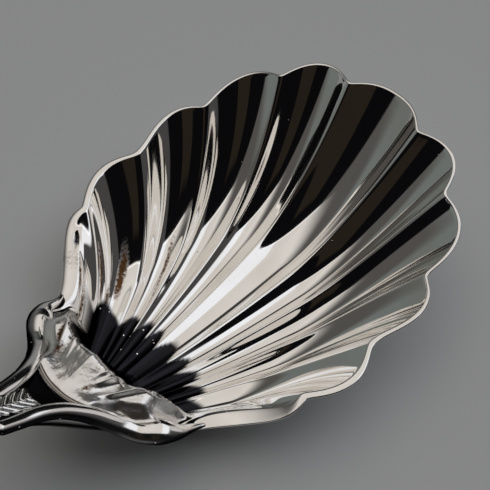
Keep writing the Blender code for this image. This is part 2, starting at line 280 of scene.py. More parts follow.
@dataclass(frozen=True)
class ShellForm:
    """The fluted bowl's shape, as rays that run from the heel (reach 0) to the rim (reach 1).

    A ray's angle counts in degrees from the tip, positive towards +Y.
    """

    oval_centre: float = -8.0
    oval_half_length: float = 23.4
    oval_half_width: float = 19.0
    oval_power: float = 2.4
    notch_angles: tuple = (13.0, 40.0, 69.5, 91.0, 113.0)
    ear_angle: float = 136.0
    side_angle: float = 90.0
    tip_rise: float = 3.0
    tip_rise_start: float = 1.0
    tip_rise_power: float = 1.3
    shoulder_out: tuple = (-22.3, 16.8, 0.1)
    shoulder_in: tuple = (-26.5, 8.9, -4.1)
    ear: tuple = (-31.3, 10.7, 0.2)
    heel_x: float = -37.7
    heel_height: float = 5.6
    heel_end: tuple = (-33.0, 8.9, 2.5)
    heel_fan: float = 0.12
    heel_fan_power: int = 10
    shelf_length: float = 5.1
    shelf_length_side: float = 3.8
    shelf_fall: float = 3.6
    shelf_fall_side: float = 0.9
    groove_place: float = 2.7
    groove_depth: float = 0.5
    groove_width: float = 1.3
    ridge_start: float = 0.2
    ridge_full: float = 2.6
    ridge_place: float = 5.4
    ridge_fall: float = 2.3
    ridge_height: float = 0.3
    ridge_width: float = 1.8
    ridge_roll: float = 0.45
    ridge_roll_power: int = 14
    shelf_free_reach: float = 0.35
    basin_depth: float = 8.8
    shoulder_depth: float = 3.4
    depth_end_angle: float = 118.0
    depth_power: int = 6
    deepest_reach: float = 0.62
    wall_power: float = 1.8
    floor_at_heel: float = -3.0
    flare_power: int = 5
    ray_straight_tip: float = 0.87
    ray_straight_side: float = 0.75
    flute_depth_tip: float = 2.0
    flute_depth_side: float = 0.85
    flute_power_tip: float = 1.3
    flute_power_side: float = 0.0
    flute_start: float = 0.08
    flute_full: float = 0.22
    flute_section: float = 2.0
    crest_rounding: float = 0.12
    scallop_tip: float = 1.2
    scallop_side: float = 1.3
    scallop_power: int = 8
    sheet_heel: float = 1.0
    sheet_tip: float = 0.5
    lip_tip: float = 0.5
    lip_notch: float = 1.0
    lip_grows_from: int = 2
    lip_shoulder: float = 1.9
    lip_dome: float = 0.12
    lip_dome_power: int = 3
    lip_blend: float = 0.78
    angle_step: float = 0.25
    reach_step: float = 0.005

    def oval(self, size: Array) -> Array:
        """Return the rim's oval.

        Args:
            size: Unsigned ray angles.

        Returns:
            One point for each angle.
        """
        turn = np.radians(size)
        power = 2.0 / self.oval_power
        run, side = np.cos(turn), np.sin(turn)
        x = self.oval_centre + np.sign(run) * np.abs(run) ** power * self.oval_half_length
        y = np.abs(side) ** power * self.oval_half_width
        tip = self.oval_centre + self.oval_half_length - self.tip_rise_start
        z = self.tip_rise * (np.maximum(0.0, x - self.tip_rise_start) / tip) ** self.tip_rise_power
        return np.stack((x, y, z), axis=-1)

    def rim(self, size: Array) -> Array:
        """Return the rim before fluting: the oval, then the shoulder's curve in to the ear.

        Args:
            size: Unsigned ray angles.

        Returns:
            One point for each angle.
        """
        last = self.notch_angles[-1]
        start = tuple(self.oval(np.array(last)))
        share = np.clip((size - last) / (self.ear_angle - last), 0.0, 1.0)
        shoulder = bezier((start, self.shoulder_out, self.shoulder_in, self.ear), share)
        return np.where((size <= last)[..., None], self.oval(np.minimum(size, last)), shoulder)

    def heel(self, size: Array) -> Array:
        """Return the heel edge, where the rays start.

        Args:
            size: Unsigned ray angles.

        Returns:
            One point for each angle.
        """
        share = size / self.ear_angle
        width = self.heel_fan * share + (1.0 - self.heel_fan) * share ** self.heel_fan_power
        x = mix(self.heel_x, self.heel_end[0], width ** 2)
        z = mix(self.heel_height, self.heel_end[2], HUMP.fall(width))
        return np.stack((x, self.heel_end[1] * width, z), axis=-1)

    def ahead(self, x: Array, y: Array) -> Array:
        """Return how far ahead of the heel edge a place lies."""
        share = np.minimum(1.0, np.abs(y) / self.heel_end[1])
        return x - mix(self.heel_x, self.heel_end[0], share ** 2)

    def shelf_front(self, y: Array) -> tuple[Array, Array]:
        """Return where the shelf's wall falls to the pool: nearer and steeper at the sides.

        Args:
            y: Places across the bowl.

        Returns:
            How far ahead of the heel edge the wall starts, and how far ahead it ends.
        """
        share = np.minimum(1.0, np.abs(y) / self.heel_end[1])
        start = mix(self.shelf_length, self.shelf_length_side, share)
        return start, start + mix(self.shelf_fall, self.shelf_fall_side, share)

    def shelf(self, x: Array, y: Array) -> Array:
        """Return the heel's shelf: from the heel edge over a groove to a ridge that rolls off at its ends.

        Args:
            x: Places along the bowl.
            y: Places across the bowl.

        Returns:
            One height for each place.
        """
        share = np.minimum(1.0, np.abs(y) / self.heel_end[1])
        ahead = self.ahead(x, y)
        on_ridge = ease(self.ridge_start, self.ridge_full, ahead)
        groove = self.groove_depth * np.exp(-((ahead - self.groove_place) / self.groove_width) ** 2)
        ridge = self.ridge_height * np.exp(-((ahead - self.ridge_place) / self.ridge_width) ** 2)
        back = mix(self.heel_height - groove, self.heel_end[2], HUMP.fall(share))
        front = self.heel_height - self.ridge_fall * share + ridge
        front = front - self.ridge_roll * share ** self.ridge_roll_power
        return mix(back, front, on_ridge)

    def basin(self, angle: Array, reach: Array) -> Array:
        """Return the smooth basin with the heel's shelf in it, without flutes.

        Args:
            angle: Ray angles.
            reach: How far along its ray each place lies.

        Returns:
            One point for each place.
        """
        angle, reach = np.broadcast_arrays(angle, reach)
        size = np.abs(angle)
        rim, heel = self.rim(size), self.heel(size)
        towards_side = np.sin(np.radians(np.minimum(size, self.side_angle)))
        straight = mix(self.ray_straight_tip, self.ray_straight_side, towards_side)
        spread = straight * reach + (1.0 - straight) * reach ** self.flare_power
        depth = np.maximum(0.0, 1.0 - (size / self.depth_end_angle) ** self.depth_power)
        at_ear = ease(self.notch_angles[-1], self.ear_angle, size)
        floor = mix(mix(-self.shoulder_depth, -self.basin_depth, depth), rim[..., 2], at_ear)
        heel_floor = mix(self.floor_at_heel, heel[..., 2], at_ear)
        climb = np.maximum(0.0, (reach - self.deepest_reach) / (1.0 - self.deepest_reach)) ** self.wall_power
        fall = np.maximum(0.0, 1.0 - reach / self.deepest_reach) ** 2
        wall = mix(floor, rim[..., 2], climb)
        z = np.where(reach >= self.deepest_reach, wall, mix(floor, heel_floor, fall))
        x = mix(heel[..., 0], rim[..., 0], reach)
        y = np.where(angle < 0.0, -1.0, 1.0) * mix(heel[..., 1], rim[..., 1], spread)
        on_shelf = 1.0 - ease(*self.shelf_front(y), self.ahead(x, y))
        z = mix(z, self.shelf(x, y), on_shelf * (1.0 - ease(self.shelf_free_reach, 1.0, reach)))
        return np.stack((x, y, z), axis=-1)

    def directions(self, angle: Array, reach: Array) -> tuple[Array, Array]:
        """Return how the basin faces and runs.

        Args:
            angle: Ray angles.
            reach: How far along its ray each place lies.

        Returns:
            The inward normal and the direction towards the rim, at each place.
        """
        low = np.maximum(-self.ear_angle, angle - self.angle_step)
        high = np.minimum(self.ear_angle, angle + self.angle_step)
        near = np.maximum(0.0, reach - self.reach_step)
        far = np.minimum(1.0, reach + self.reach_step)
        across = self.basin(high, reach) - self.basin(low, reach)
        along = self.basin(angle, far) - self.basin(angle, near)
        return unit(np.cross(along, across)), unit(along)

    def outward(self, angle: Array) -> Array:
        """Return the level direction that points out of the rim.

        Args:
            angle: Ray angles.

        Returns:
            One direction for each angle.
        """
        size = np.abs(angle)
        ahead = self.rim(np.minimum(self.ear_angle, size + self.angle_step))
        behind = self.rim(np.maximum(0.0, size - self.angle_step))
        run = ahead - behind
        side = np.where(angle < 0.0, -1.0, 1.0)
        return unit(np.stack((run[..., 1], -side * run[..., 0], np.zeros_like(size)), axis=-1))

    def flute(self, angle: Array) -> Array:
        """Return how far each flute has sunk between its crests.

        Args:
            angle: Ray angles.

        Returns:
            0 on a crest, 1 in mid flute.
        """
        size = np.abs(angle)
        edges = np.array((-self.notch_angles[0], *self.notch_angles, self.ear_angle))
        lobe = np.clip(np.searchsorted(edges, size, side="right") - 1, 0, len(edges) - 2)
        middle = 0.5 * (edges[lobe] + edges[lobe + 1])
        to_crest = 1.0 - np.abs(size - middle) / (edges[lobe + 1] - middle)
        rounded = np.hypot(to_crest, self.crest_rounding) - self.crest_rounding
        share = rounded / (math.hypot(1.0, self.crest_rounding) - self.crest_rounding)
        return 1.0 - (1.0 - share) ** self.flute_section

    def inner(self, angle: Array, reach: Array) -> Array:
        """Return the fluted inner face.

        Args:
            angle: Ray angles.
            reach: How far along its ray each place lies.

        Returns:
            One point for each place.
        """
        angle, reach = np.broadcast_arrays(angle, reach)
        normal, along = self.directions(angle, reach)
        towards_ear = np.abs(angle) / self.ear_angle
        depth = mix(self.flute_depth_tip, self.flute_depth_side, towards_ear)
        depth = depth * reach ** mix(self.flute_power_tip, self.flute_power_side, towards_ear)
        depth = depth * ease(self.flute_start, self.flute_full, reach)
        scallop = mix(self.scallop_tip, self.scallop_side, towards_ear) * reach ** self.scallop_power
        fade = 1.0 - ease(self.notch_angles[-1], self.ear_angle, np.abs(angle))
        sunk = self.flute(angle) * fade ** 2
        sunk_face = self.basin(angle, reach) - normal * (depth * sunk)[..., None]
        return sunk_face + along * (scallop * sunk)[..., None]

    def lip_width(self, angle: Array) -> Array:
        """Return the width of the filed lip: thin at the tip, broadest half way round the shoulders.

        Args:
            angle: Ray angles.

        Returns:
            One width for each angle.
        """
        size, last = np.abs(angle), self.notch_angles[-1]
        along = np.clip((size - last) / (self.ear_angle - last), 0.0, 1.0)
        grown = ease(self.notch_angles[self.lip_grows_from], last, size)
        plain = mix(self.lip_tip, self.lip_notch, grown)
        return plain + (self.lip_shoulder - self.lip_notch) * np.sin(math.pi * along)

    def outer(self, angle: Array, reach: Array) -> Array:
        """Return the outer face: the sheet's thickness outside the inner face, level with it at the lip.

        Args:
            angle: Ray angles.
            reach: How far along its ray each place lies.

        Returns:
            One point for each place.
        """
        angle, reach = np.broadcast_arrays(angle, reach)
        normal, _ = self.directions(angle, reach)
        at_lip = ease(self.lip_blend, 1.0, reach)
        sheet = mix(self.sheet_heel, self.sheet_tip, reach) * (1.0 - at_lip)
        width = self.lip_width(angle) * at_lip
        return self.inner(angle, reach) - normal * sheet[..., None] + self.outward(angle) * width[..., None]

    def lip(self, angle: Array, share: Array) -> Array:
        """Return the slightly domed lip.

        Args:
            angle: Ray angles.
            share: How far each place lies from the inner edge (0) to the outer edge (1).

        Returns:
            One point for each place.
        """
        angle, share = np.broadcast_arrays(angle, share)
        rim = np.ones_like(share)
        dome = self.lip_dome * (1.0 - np.abs(2.0 * share - 1.0) ** self.lip_dome_power)
        points = mix(self.inner(angle, rim), self.outer(angle, rim), share[..., None])
        return points + dome[..., None] * UP


@dataclass(frozen=True)
class StemForm:
    """The stem's shape, as rings that run from the terminal forward to the yoke and on into the tongue."""

    yoke_x: float = -38.1
    rise: tuple = ((0.0, 5.8), (4.6, 10.6), (11.1, 16.6), (19.1, 17.0))
    fall: tuple = ((19.1, 17.0), (41.1, 17.0), (71.1, 2.4), (94.1, 5.2))
    half_width: float = 1.9
    thickness: float = 2.9
    side: float = 1.4
    back_power: float = 0.7
    thins_from: float = 15.0
    thins_to: float = 60.0
    flare: float = 7.4
    flare_length: float = 1.3
    sweep: float = 5.0
    droop: float = 3.5
    yoke_thinning: float = 1.1
    fillet: float = 0.5
    fillet_share: float = 0.6
    terminal_half_width: float = 9.0
    terminal_thickness: float = 1.9
    terminal_side: float = 1.1
    terminal_start: float = 34.0
    terminal_widest: float = 83.0
    terminal_end_half_width: float = 0.4
    border: float = 0.7
    border_slope: float = 0.5
    recess_start: float = 0.125
    recess_full: float = 0.25
    recess_depth: float = 0.5
    # Painted shade: the sides near the yoke are painted black from this share of the way round, fading out
    # over these lengths.
    painted_shade_side_share: float = 0.45
    painted_shade_side_end: float = 8.0
    painted_shade_side_fade: float = 8.0
    leaf_start: float = 2.0
    leaf_end: float = 15.0
    leaf_rise: float = 0.6
    leaf_fade: float = 2.0
    vein_pitch: float = 0.85
    vein_lean: float = 0.9
    vein_power: float = 0.7
    rib_half_width: float = 0.32
    tongue_half_width: float = 1.9
    tongue_tip_half_width: float = 0.7
    tongue_thickness: float = 1.1
    tongue_side_share: float = 0.5
    tongue_tip_share: float = 0.4
    tongue_root_depth: float = 1.2
    tongue_start: float = 0.125
    tongue_end: float = 0.2
    tongue_sink: float = 0.15
    rise_rings: int = 170
    rise_crowding: float = 1.3
    fall_rings: int = 260
    tongue_rings: int = 24
    top_points: int = 57
    back_points: int = 29

    def line(self) -> Array:
        """Return the top line, from the yoke backwards.

        Returns:
            Rows of distance behind the yoke and height.
        """
        share = np.linspace(0.0, 1.0, self.rise_rings, endpoint=False) ** self.rise_crowding
        rising = bezier(self.rise, share)
        falling = bezier(self.fall, np.sin(np.linspace(0.0, 0.5 * math.pi, self.fall_rings)))
        return np.concatenate((rising, falling))

    def widths(self, distance: Array, length: float) -> Array:
        """Return half the stem's width.

        Args:
            distance: Distances behind the yoke.
            length: How far behind the yoke the terminal ends.

        Returns:
            One half width for each distance.
        """
        widening = ease(self.terminal_start, self.terminal_widest, distance)
        plain = mix(self.half_width, self.terminal_half_width, widening)
        share = np.clip((distance - self.terminal_widest) / (length - self.terminal_widest), 0.0, 1.0)
        rounded = mix(self.terminal_end_half_width, self.terminal_half_width, np.sqrt(1.0 - share ** 2))
        plain = np.where(distance > self.terminal_widest, rounded, plain)
        return plain + self.flare * np.exp(-distance / self.flare_length)

    def sag(self, flare: Array) -> Array:
        """Return how far the yoke's sides droop, level towards the ears."""
        return self.droop * flare * (2.0 - flare)

    def shares(self) -> tuple[Array, Array]:
        """Return the places round a ring, closer together at the edges.

        Returns:
            Shares of the half width across the top, and then back across the underside.
        """
        top = np.sin(np.linspace(-0.5, 0.5, self.top_points) * math.pi)
        back = np.sin(np.linspace(0.5, -0.5, self.back_points) * math.pi)
        return top, back

    def relief(self, distance: Array, across: Array, half: Array) -> Array:
        """Return the struck ornament's height over the plain top.

        Args:
            distance: How far behind the yoke each point lies.
            across: How far each point lies from the middle line.
            half: Half the stem's width there.

        Returns:
            Heights in millimetres: a sunk field between the edges, with a veined leaf raised in it.
        """
        inside = half - np.abs(across)
        floor = ease(self.border, self.border + self.border_slope, inside)
        floor = floor * ease(self.recess_start, self.recess_full, distance)
        floor = floor * (1.0 - ease(self.leaf_end, self.leaf_end + self.leaf_fade, distance))
        leaf = ease(self.leaf_start, self.leaf_start + self.leaf_rise, distance)
        leaf = leaf * (1.0 - ease(self.leaf_end - self.leaf_fade, self.leaf_end, distance))
        phase = (distance + self.vein_lean * np.abs(across)) / self.vein_pitch
        vein = np.abs(np.sin(math.pi * phase)) ** self.vein_power
        rib = np.exp(-(across / self.rib_half_width) ** 2)
        raised = leaf * np.maximum(vein, rib)
        return floor * self.recess_depth * (raised - 1.0)

    def section(self, centre: Array, up: Array, half: Array, thickness: Array, side: Array,
                flare: Array) -> Array:
        """Return rings of the stem: a flat top with rounded edges, upright sides and a rounded back.

        Args:
            centre: The middle of each ring's top.
            up: Each ring's upward direction.
            half: Half of each ring's width.
            thickness: Each ring's greatest depth.
            side: The depth of each ring's sides.
            flare: How much of the yoke's sweep and droop each ring takes.

        Returns:
            Points by ring and by place round the ring.
        """
        top, back = self.shares()
        half, thickness, side, flare = (values[:, None] for values in (half, thickness, side, flare))
        fillet = np.minimum(self.fillet, self.fillet_share * np.minimum(half, side))
        corner = np.clip((np.abs(half * top) - (half - fillet)) / fillet, 0.0, 1.0)
        top_depth = fillet * (1.0 - np.sqrt(1.0 - corner ** 2))
        back_depth = side + (thickness - side) * (1.0 - back ** 2) ** self.back_power
        share = np.concatenate((top, back))[None, :]
        depth = np.concatenate((top_depth, back_depth), axis=1)
        drop = -self.sag(flare) * HUMP.fall(share)
        spread = np.stack((self.sweep * flare * share ** 2, half * share, drop), axis=-1)
        return centre[:, None, :] + spread - up[:, None, :] * depth[..., None]

    def stem_rings(self) -> tuple[Array, Array]:
        """Return the rings from the terminal to the front of the yoke.

        Returns:
            The rings, and how black each place is: oxide in the sunk field, and painted shade on the sides
                near the yoke.
        """
        line = self.line()
        distance, height = line[:, 0], line[:, 1]
        run = unit(np.gradient(line, axis=0))
        flare = np.exp(-distance / self.flare_length)
        level = np.zeros_like(distance)
        up = np.stack((run[:, 1], level, run[:, 0]), axis=-1)
        up = unit(mix(up, UP, flare[:, None]))
        thinning = ease(self.thins_from, self.thins_to, distance)
        thickness = mix(self.thickness, self.terminal_thickness, thinning) - self.yoke_thinning * flare
        side = mix(self.side, self.terminal_side, thinning)
        half = self.widths(distance, distance[-1])
        centre = np.stack((self.yoke_x - distance, level, height), axis=-1)
        rings = self.section(centre, up, half, thickness, side, flare)
        top, back = self.shares()
        relief = self.relief(distance[:, None], half[:, None] * top, half[:, None])
        rings[:, :len(top)] += up[:, None, :] * relief[..., None]
        oxide_and_shade = np.clip(-relief / self.recess_depth, 0.0, 1.0)
        # Painted shade: the sides near the yoke are painted black, fading out behind it.
        painted_side_shade = 1.0 - ease(self.painted_shade_side_end, self.painted_shade_side_end + self.painted_shade_side_fade, distance)
        sides = painted_side_shade[:, None] * ease(self.painted_shade_side_share, 1.0, np.abs(back))[None, :]
        oxide_and_shade = np.concatenate((oxide_and_shade, sides), axis=1)
        return rings[::-1], oxide_and_shade[::-1]

    def tongue(self, shell: ShellForm) -> Array:
        """Return the rings that carry the stem on under the heel of the bowl.

        Args:
            shell: The bowl that the tongue lies under.

        Returns:
            Points by ring and by place round the ring.
        """
        reach = np.linspace(self.tongue_start, self.tongue_end, self.tongue_rings)
        angle = np.zeros_like(reach)
        normal, _ = shell.directions(angle, reach)
        taper = np.linspace(0.0, 1.0, self.tongue_rings)
        half = mix(self.tongue_half_width, self.tongue_tip_half_width, taper)
        thickness = self.tongue_thickness * mix(1.0, self.tongue_tip_share, taper)
        sheet = mix(shell.sheet_heel, shell.sheet_tip, reach) - self.tongue_sink
        centre = shell.basin(angle, reach) - normal * sheet[:, None]
        root = np.array(((self.yoke_x, 0.0, self.rise[0][1] - self.tongue_root_depth),))
        centre = np.concatenate((root, centre))
        up = np.concatenate((UP[None, :], normal))
        half = np.concatenate((half[:1], half))
        thickness = np.concatenate((thickness[:1], thickness))
        side = self.tongue_side_share * thickness
        return self.section(centre, up, half, thickness, side, np.zeros_like(half))


@dataclass(frozen=True)
class Cloud:
    """A cloudy pattern: its feature size in millimetres, its octaves and the finer ones' strength."""

    size: float
    detail: float
    roughness: float = 0.5


@dataclass(frozen=True)
class Silver:
    """Sterling silver, struck, polished and worn: a mirror with wavy reflections, pits and brown tarnish."""

    name: str
    bright: str = "F3F1EE"
    film: str = "CDBFAE"
    tarnish: str = "6B4A2C"
    # The oxide's black, also used for painted shade and painted dark reflection.
    oxide_and_shade_tone: str = "26262A"
    edge: str = "FFFFFF"
    roughness: float = 0.05
    worn_roughness: float = 0.12
    satin_roughness: float = 0.25
    tarnish_roughness: float = 0.42
    oxide_and_shade_roughness: float = 0.2
    film_cloud: Cloud = Cloud(9.0, 4.0)
    film_start: float = 0.45
    film_full: float = 0.75
    film_most: float = 0.3
    grain_cloud: Cloud = Cloud(0.35, 3.0, 0.7)
    spot_start: float = 0.22
    spot_full: float = 0.5
    speck_spacing: float = 1.2
    speck_radius: float = 0.095
    pit_spacing: float = 1.8
    pit_radius: float = 0.08
    pit_floor: float = 0.3
    pit_depth: float = 0.04
    pit_bare_share: float = 0.55
    wave_cloud: Cloud = Cloud(5.0, 1.0)
    wave_height: float = 0.010
    mottle_cloud: Cloud = Cloud(1.3, 3.0)
    mottle_height: float = 0.16

    def build(self) -> bpy.types.Material:
        """Make the material: colour, roughness and bump from patterns of a given size.

        Returns:
            The new material.
        """
        material, tree, place = start_material(self.name)
        tarnish, oxide_and_shade, heel = (
            add_node(tree, "Attribute", {"attribute_name": mark.value}).outputs["Fac"] for mark in Mark)
        film, grain, wave, mottle = (
            add_node(tree, "TexNoise", None, {
                "Vector": place, "Scale": per_mm(cloud.size), "Detail": cloud.detail,
                "Roughness": cloud.roughness}).outputs[0]
            for cloud in (self.film_cloud, self.grain_cloud, self.wave_cloud, self.mottle_cloud))
        specks, pits = (
            add_node(tree, "TexVoronoi", None, {"Vector": place, "Scale": per_mm(spacing)}).outputs
            for spacing in (self.speck_spacing, self.pit_spacing))

        # A warm film dulls the mirror in broad patches, and fine brown spots gather where it is tarnished.
        film_share = add_node(tree, "MapRange", None, {
            "Value": film, "From Min": self.film_start, "From Max": self.film_full,
            "To Min": 0.0, "To Max": self.film_most}).outputs[0]
        spotted = add_node(tree, "Math", {"operation": "MULTIPLY"}, {0: tarnish, 1: grain}).outputs[0]
        spot_share = add_node(tree, "MapRange", None, {
            "Value": spotted, "From Min": self.spot_start, "From Max": self.spot_full}).outputs[0]

        # Black oxide fills the recesses, and the same black is painted as shade and dark reflection where the
        # mark carries it. Specks rubbed bright stand out in it like dust. They are drawn over a pixel wide,
        # coarser than most real ones, so that they show.
        rubbed = add_node(tree, "Math", {"operation": "GREATER_THAN"}, {
            0: specks["Distance"], 1: self.speck_radius / self.speck_spacing}).outputs[0]
        oxide_and_shade_share = add_node(tree, "Math", {"operation": "MULTIPLY"}, {0: oxide_and_shade, 1: rubbed}).outputs[0]

        # Dark pits dot the polish here and there. They too are drawn coarser than most real ones.
        pit_rim = self.pit_radius / self.pit_spacing
        near = add_node(tree, "MapRange", None, {
            "Value": pits["Distance"], "From Min": self.pit_floor * pit_rim, "From Max": pit_rim,
            "To Min": 1.0, "To Max": 0.0}).outputs[0]
        lot = add_node(tree, "SeparateColor", None, {0: pits["Color"]}).outputs[0]
        chosen = add_node(tree, "Math", {"operation": "GREATER_THAN"}, {
            0: lot, 1: self.pit_bare_share}).outputs[0]
        pit = add_node(tree, "Math", {"operation": "MULTIPLY"}, {0: near, 1: chosen}).outputs[0]

        colour: Any = linear(self.bright)
        layers = (
            (film_share, self.film), (spot_share, self.tarnish), (oxide_and_shade_share, self.oxide_and_shade_tone), (pit, self.oxide_and_shade_tone))
        for share, tone in layers:
            colour = add_node(tree, "Mix", {"data_type": "RGBA"}, {
                0: share, MIX_FIRST: colour, MIX_SECOND: linear(tone)}).outputs[MIX_RESULT]
        # Bare silver is bright at grazing angles too. Oxide and painted shade stay dark there.
        edge_tint = add_node(tree, "Mix", {"data_type": "RGBA"}, {
            0: oxide_and_shade_share, MIX_FIRST: linear(self.edge), MIX_SECOND: linear(self.oxide_and_shade_tone)}).outputs[MIX_RESULT]

        # The mirror blurs under the film, more on the worn heel and on the oxide and painted shade, and most
        # on the brown spots.
        rough = add_node(tree, "MapRange", None, {
            "Value": film_share, "To Min": self.roughness, "To Max": self.worn_roughness}).outputs[0]
        dulling = (
            (heel, self.satin_roughness), (spot_share, self.tarnish_roughness),
            (oxide_and_shade_share, self.oxide_and_shade_roughness))
        for share, more in dulling:
            rough = add_node(tree, "Math", {"operation": "MULTIPLY_ADD", "use_clamp": True}, {
                0: share, 1: more, 2: rough}).outputs[0]

        # Hand polish leaves waves that bend the reflections a little, and the heel is mottled by its tooling.
        mottled = add_node(tree, "Math", {"operation": "MULTIPLY"}, {0: mottle, 1: heel}).outputs[0]
        normal: dict = {}
        reliefs = (
            (wave, self.wave_height, False),
            (mottled, self.mottle_height, False),
            (pit, self.pit_depth, True))
        for height, rise, sunk in reliefs:
            bump = add_node(tree, "Bump", {"invert": sunk}, {
                "Strength": 1.0, "Distance": rise * MM, "Height": height, **normal})
            normal = {"Normal": bump.outputs[0]}
        surface = add_node(tree, "BsdfPrincipled", None, {
            "Base Color": colour, "Metallic": 1.0, "Roughness": rough, "Specular Tint": edge_tint, **normal})
        add_node(tree, "OutputMaterial", None, {"Surface": surface.outputs[0]})
        return material


@dataclass(frozen=True)
class Seamless:
    """Matt studio paper: pale grey, even, with a faint tooth."""

    name: str = "seamless_paper"
    colour: str = "DDE0E2"
    roughness: float = 0.95
    specular_level: float = 0.1
    tooth_size: float = 0.6
    tooth_height: float = 0.02
    tooth_strength: float = 0.4

    def build(self) -> bpy.types.Material:
        """Make the material.

        Returns:
            The new material.
        """
        material, tree, place = start_material(self.name)
        # Paper fibres are finer than a pixel. Their tooth is drawn coarser, so that the flat grey isn't dead.
        tooth = add_node(tree, "TexNoise", None, {
            "Vector": place, "Scale": per_mm(self.tooth_size)}).outputs[0]
        bump = add_node(tree, "Bump", None, {
            "Strength": self.tooth_strength, "Distance": self.tooth_height * MM, "Height": tooth}).outputs[0]
        surface = add_node(tree, "BsdfPrincipled", None, {
            "Base Color": linear(self.colour), "Roughness": self.roughness,
            "Specular IOR Level": self.specular_level, "Normal": bump})
        add_node(tree, "OutputMaterial", None, {"Surface": surface.outputs[0]})
        return material


@dataclass(frozen=True)
class Bloom:
    """A patch of brown tarnish in a flute: where its middle lies and how far it spreads."""

    angle: float
    reach: float
    half_angle: float
    half_reach: float
    strength: float = 1.0

    def share(self, angle: Array, reach: Array) -> Array:
        """Return how strong the patch is.

        Args:
            angle: Ray angles.
            reach: How far along its ray each place lies.

        Returns:
            One value for each place.
        """
        across = (angle - self.angle) / self.half_angle
        along = (reach - self.reach) / self.half_reach
        return self.strength * np.exp(-across ** 2 - along ** 2)


@dataclass(frozen=True)
class Pit:
    """A casting pit in the far shoulder's lip: a small oval hollow, painted black inside as a painted dark
    reflection.
    """

    x: float = -22.25
    y: float = 16.1
    turn: float = math.radians(42.0)
    half_length: float = 0.85
    half_width: float = 0.4
    middle: float = 0.6
    depth: float = 0.25

    def share(self, points: Array) -> Array:
        """Return how deep in the pit each point lies.

        Args:
            points: Points of the bowl.

        Returns:
            0 outside the pit, 1 in its middle.
        """
        right, up = points[..., 0] - self.x, points[..., 1] - self.y
        along = (math.cos(self.turn) * right + math.sin(self.turn) * up) / self.half_length
        aside = (math.cos(self.turn) * up - math.sin(self.turn) * right) / self.half_width
        return 1.0 - ease(self.middle, 1.0, np.hypot(along, aside))


